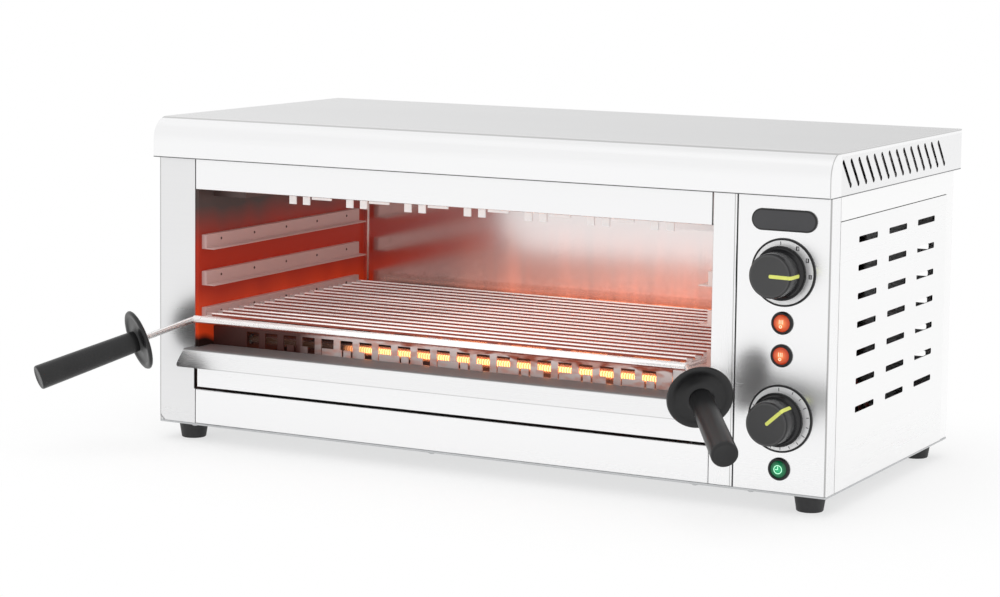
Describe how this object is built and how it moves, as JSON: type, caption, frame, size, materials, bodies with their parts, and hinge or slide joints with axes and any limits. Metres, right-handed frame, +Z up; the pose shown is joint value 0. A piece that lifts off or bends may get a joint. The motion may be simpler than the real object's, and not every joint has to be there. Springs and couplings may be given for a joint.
{
  "type": "cheese melter",
  "caption": "Counter-top electric cheese melter in brushed steel with a sliding wire rack on two black handles, a crumb tray, a power selector and a timer.",
  "frame": {"origin": "on the surface that the feet stand on, at the middle of the whole footprint with the rack's handles", "axes": "+X to the right seen from the front, -Y out of the front, +Z up"},
  "size_m": [0.6912, 0.4406, 0.2905],
  "materials": {
    "brushed steel": "brushed",
    "liner steel": "dulled by heat",
    "plated steel": "zinc plated",
    "chrome wire": "polished",
    "handle plastic": "satin",
    "knob plastic": "satin",
    "pointer paint": "satin",
    "quartz glass": "milky",
    "coil wire": "oxidised",
    "ceramic": "unglazed",
    "badge metal": "satin",
    "dial metal": "spun",
    "orange lens": "glossy",
    "green lens": "glossy",
    "white plastic": "satin",
    "wire cover": "satin",
    "black nylon": "satin",
    "brass": "plain",
    "foot rubber": "matt"
  },
  "bodies": {
    "cabinet": {"base_plate": "plated steel", "left_side_panel": "brushed steel", "header_panel": "brushed steel", "middle_post": "brushed steel", "control_panel": "brushed steel", "right_side_frame": "brushed steel", "right_louvre_panel": "brushed steel", "plinth_panel": "brushed steel", "back_panel": "brushed steel", "top_cover": "brushed steel", "cover_brackets": "plated steel", "cover_screws": "plated steel", "base_screws": "plated steel", "bay_partition": "plated steel", "cavity_left_wall": "liner steel", "cavity_right_wall": "liner steel", "cavity_back_wall": "liner steel", "top_reflector": "liner steel", "left_rails": "liner steel", "right_rails": "liner steel", "tray_runners": "plated steel", "upper_end_boxes": "liner steel", "lower_end_boxes": "liner steel", "upper_heater_guard": "liner steel", "lower_heater_guard": "liner steel", "upper_quartz_tubes": "quartz glass", "lower_quartz_tubes": "quartz glass", "upper_heating_coils": "coil wire", "lower_heating_coils": "coil wire", "upper_ceramic_caps": "ceramic", "lower_ceramic_caps": "ceramic", "badge_plate": "badge metal", "dial_plates": "dial metal", "lamp_bezels": "knob plastic", "orange_lenses": "orange lens", "green_lens": "green lens", "lamp_bodies": "white plastic", "selector_switch": "white plastic", "timer_unit": "white plastic", "terminal_block": "white plastic", "wiring": "wire cover", "cable_gland": "black nylon", "earth_stud": "brass", "rubber_feet": "foot rubber", "foot_screws": "plated steel", "foot_nuts": "plated steel"},
    "rack": {"rack_front_rod": "chrome wire", "rack_grid": "chrome wire", "handle_rods": "chrome wire", "handle_guards": "handle plastic", "handle_grips": "handle plastic"},
    "tray": {"crumb_tray": "brushed steel", "tray_lip": "brushed steel"},
    "selector": {"selector_knob": "knob plastic", "selector_pointer": "pointer paint", "selector_shaft": "plated steel"},
    "timer": {"timer_knob": "knob plastic", "timer_pointer": "pointer paint", "timer_shaft": "plated steel"}
  },
  "joints": [
    {"name": "rack_slide", "type": "slide", "parent": "cabinet", "child": "rack", "axis": [0, -1, 0], "range_m": [0, 0.25]},
    {"name": "tray_slide", "type": "slide", "parent": "cabinet", "child": "tray", "axis": [0, -1, 0], "range_m": [0, 0.26]},
    {"name": "selector_turn", "type": "hinge", "parent": "cabinet", "child": "selector", "pos_m": [0.30366, -0.08893, 0.194], "axis": [0, 1, 0], "range_deg": [-90, 0]},
    {"name": "timer_turn", "type": "hinge", "parent": "cabinet", "child": "timer", "pos_m": [0.30366, -0.08893, 0.0765], "axis": [0, 1, 0], "range_deg": [-48, 252]}
  ]
}
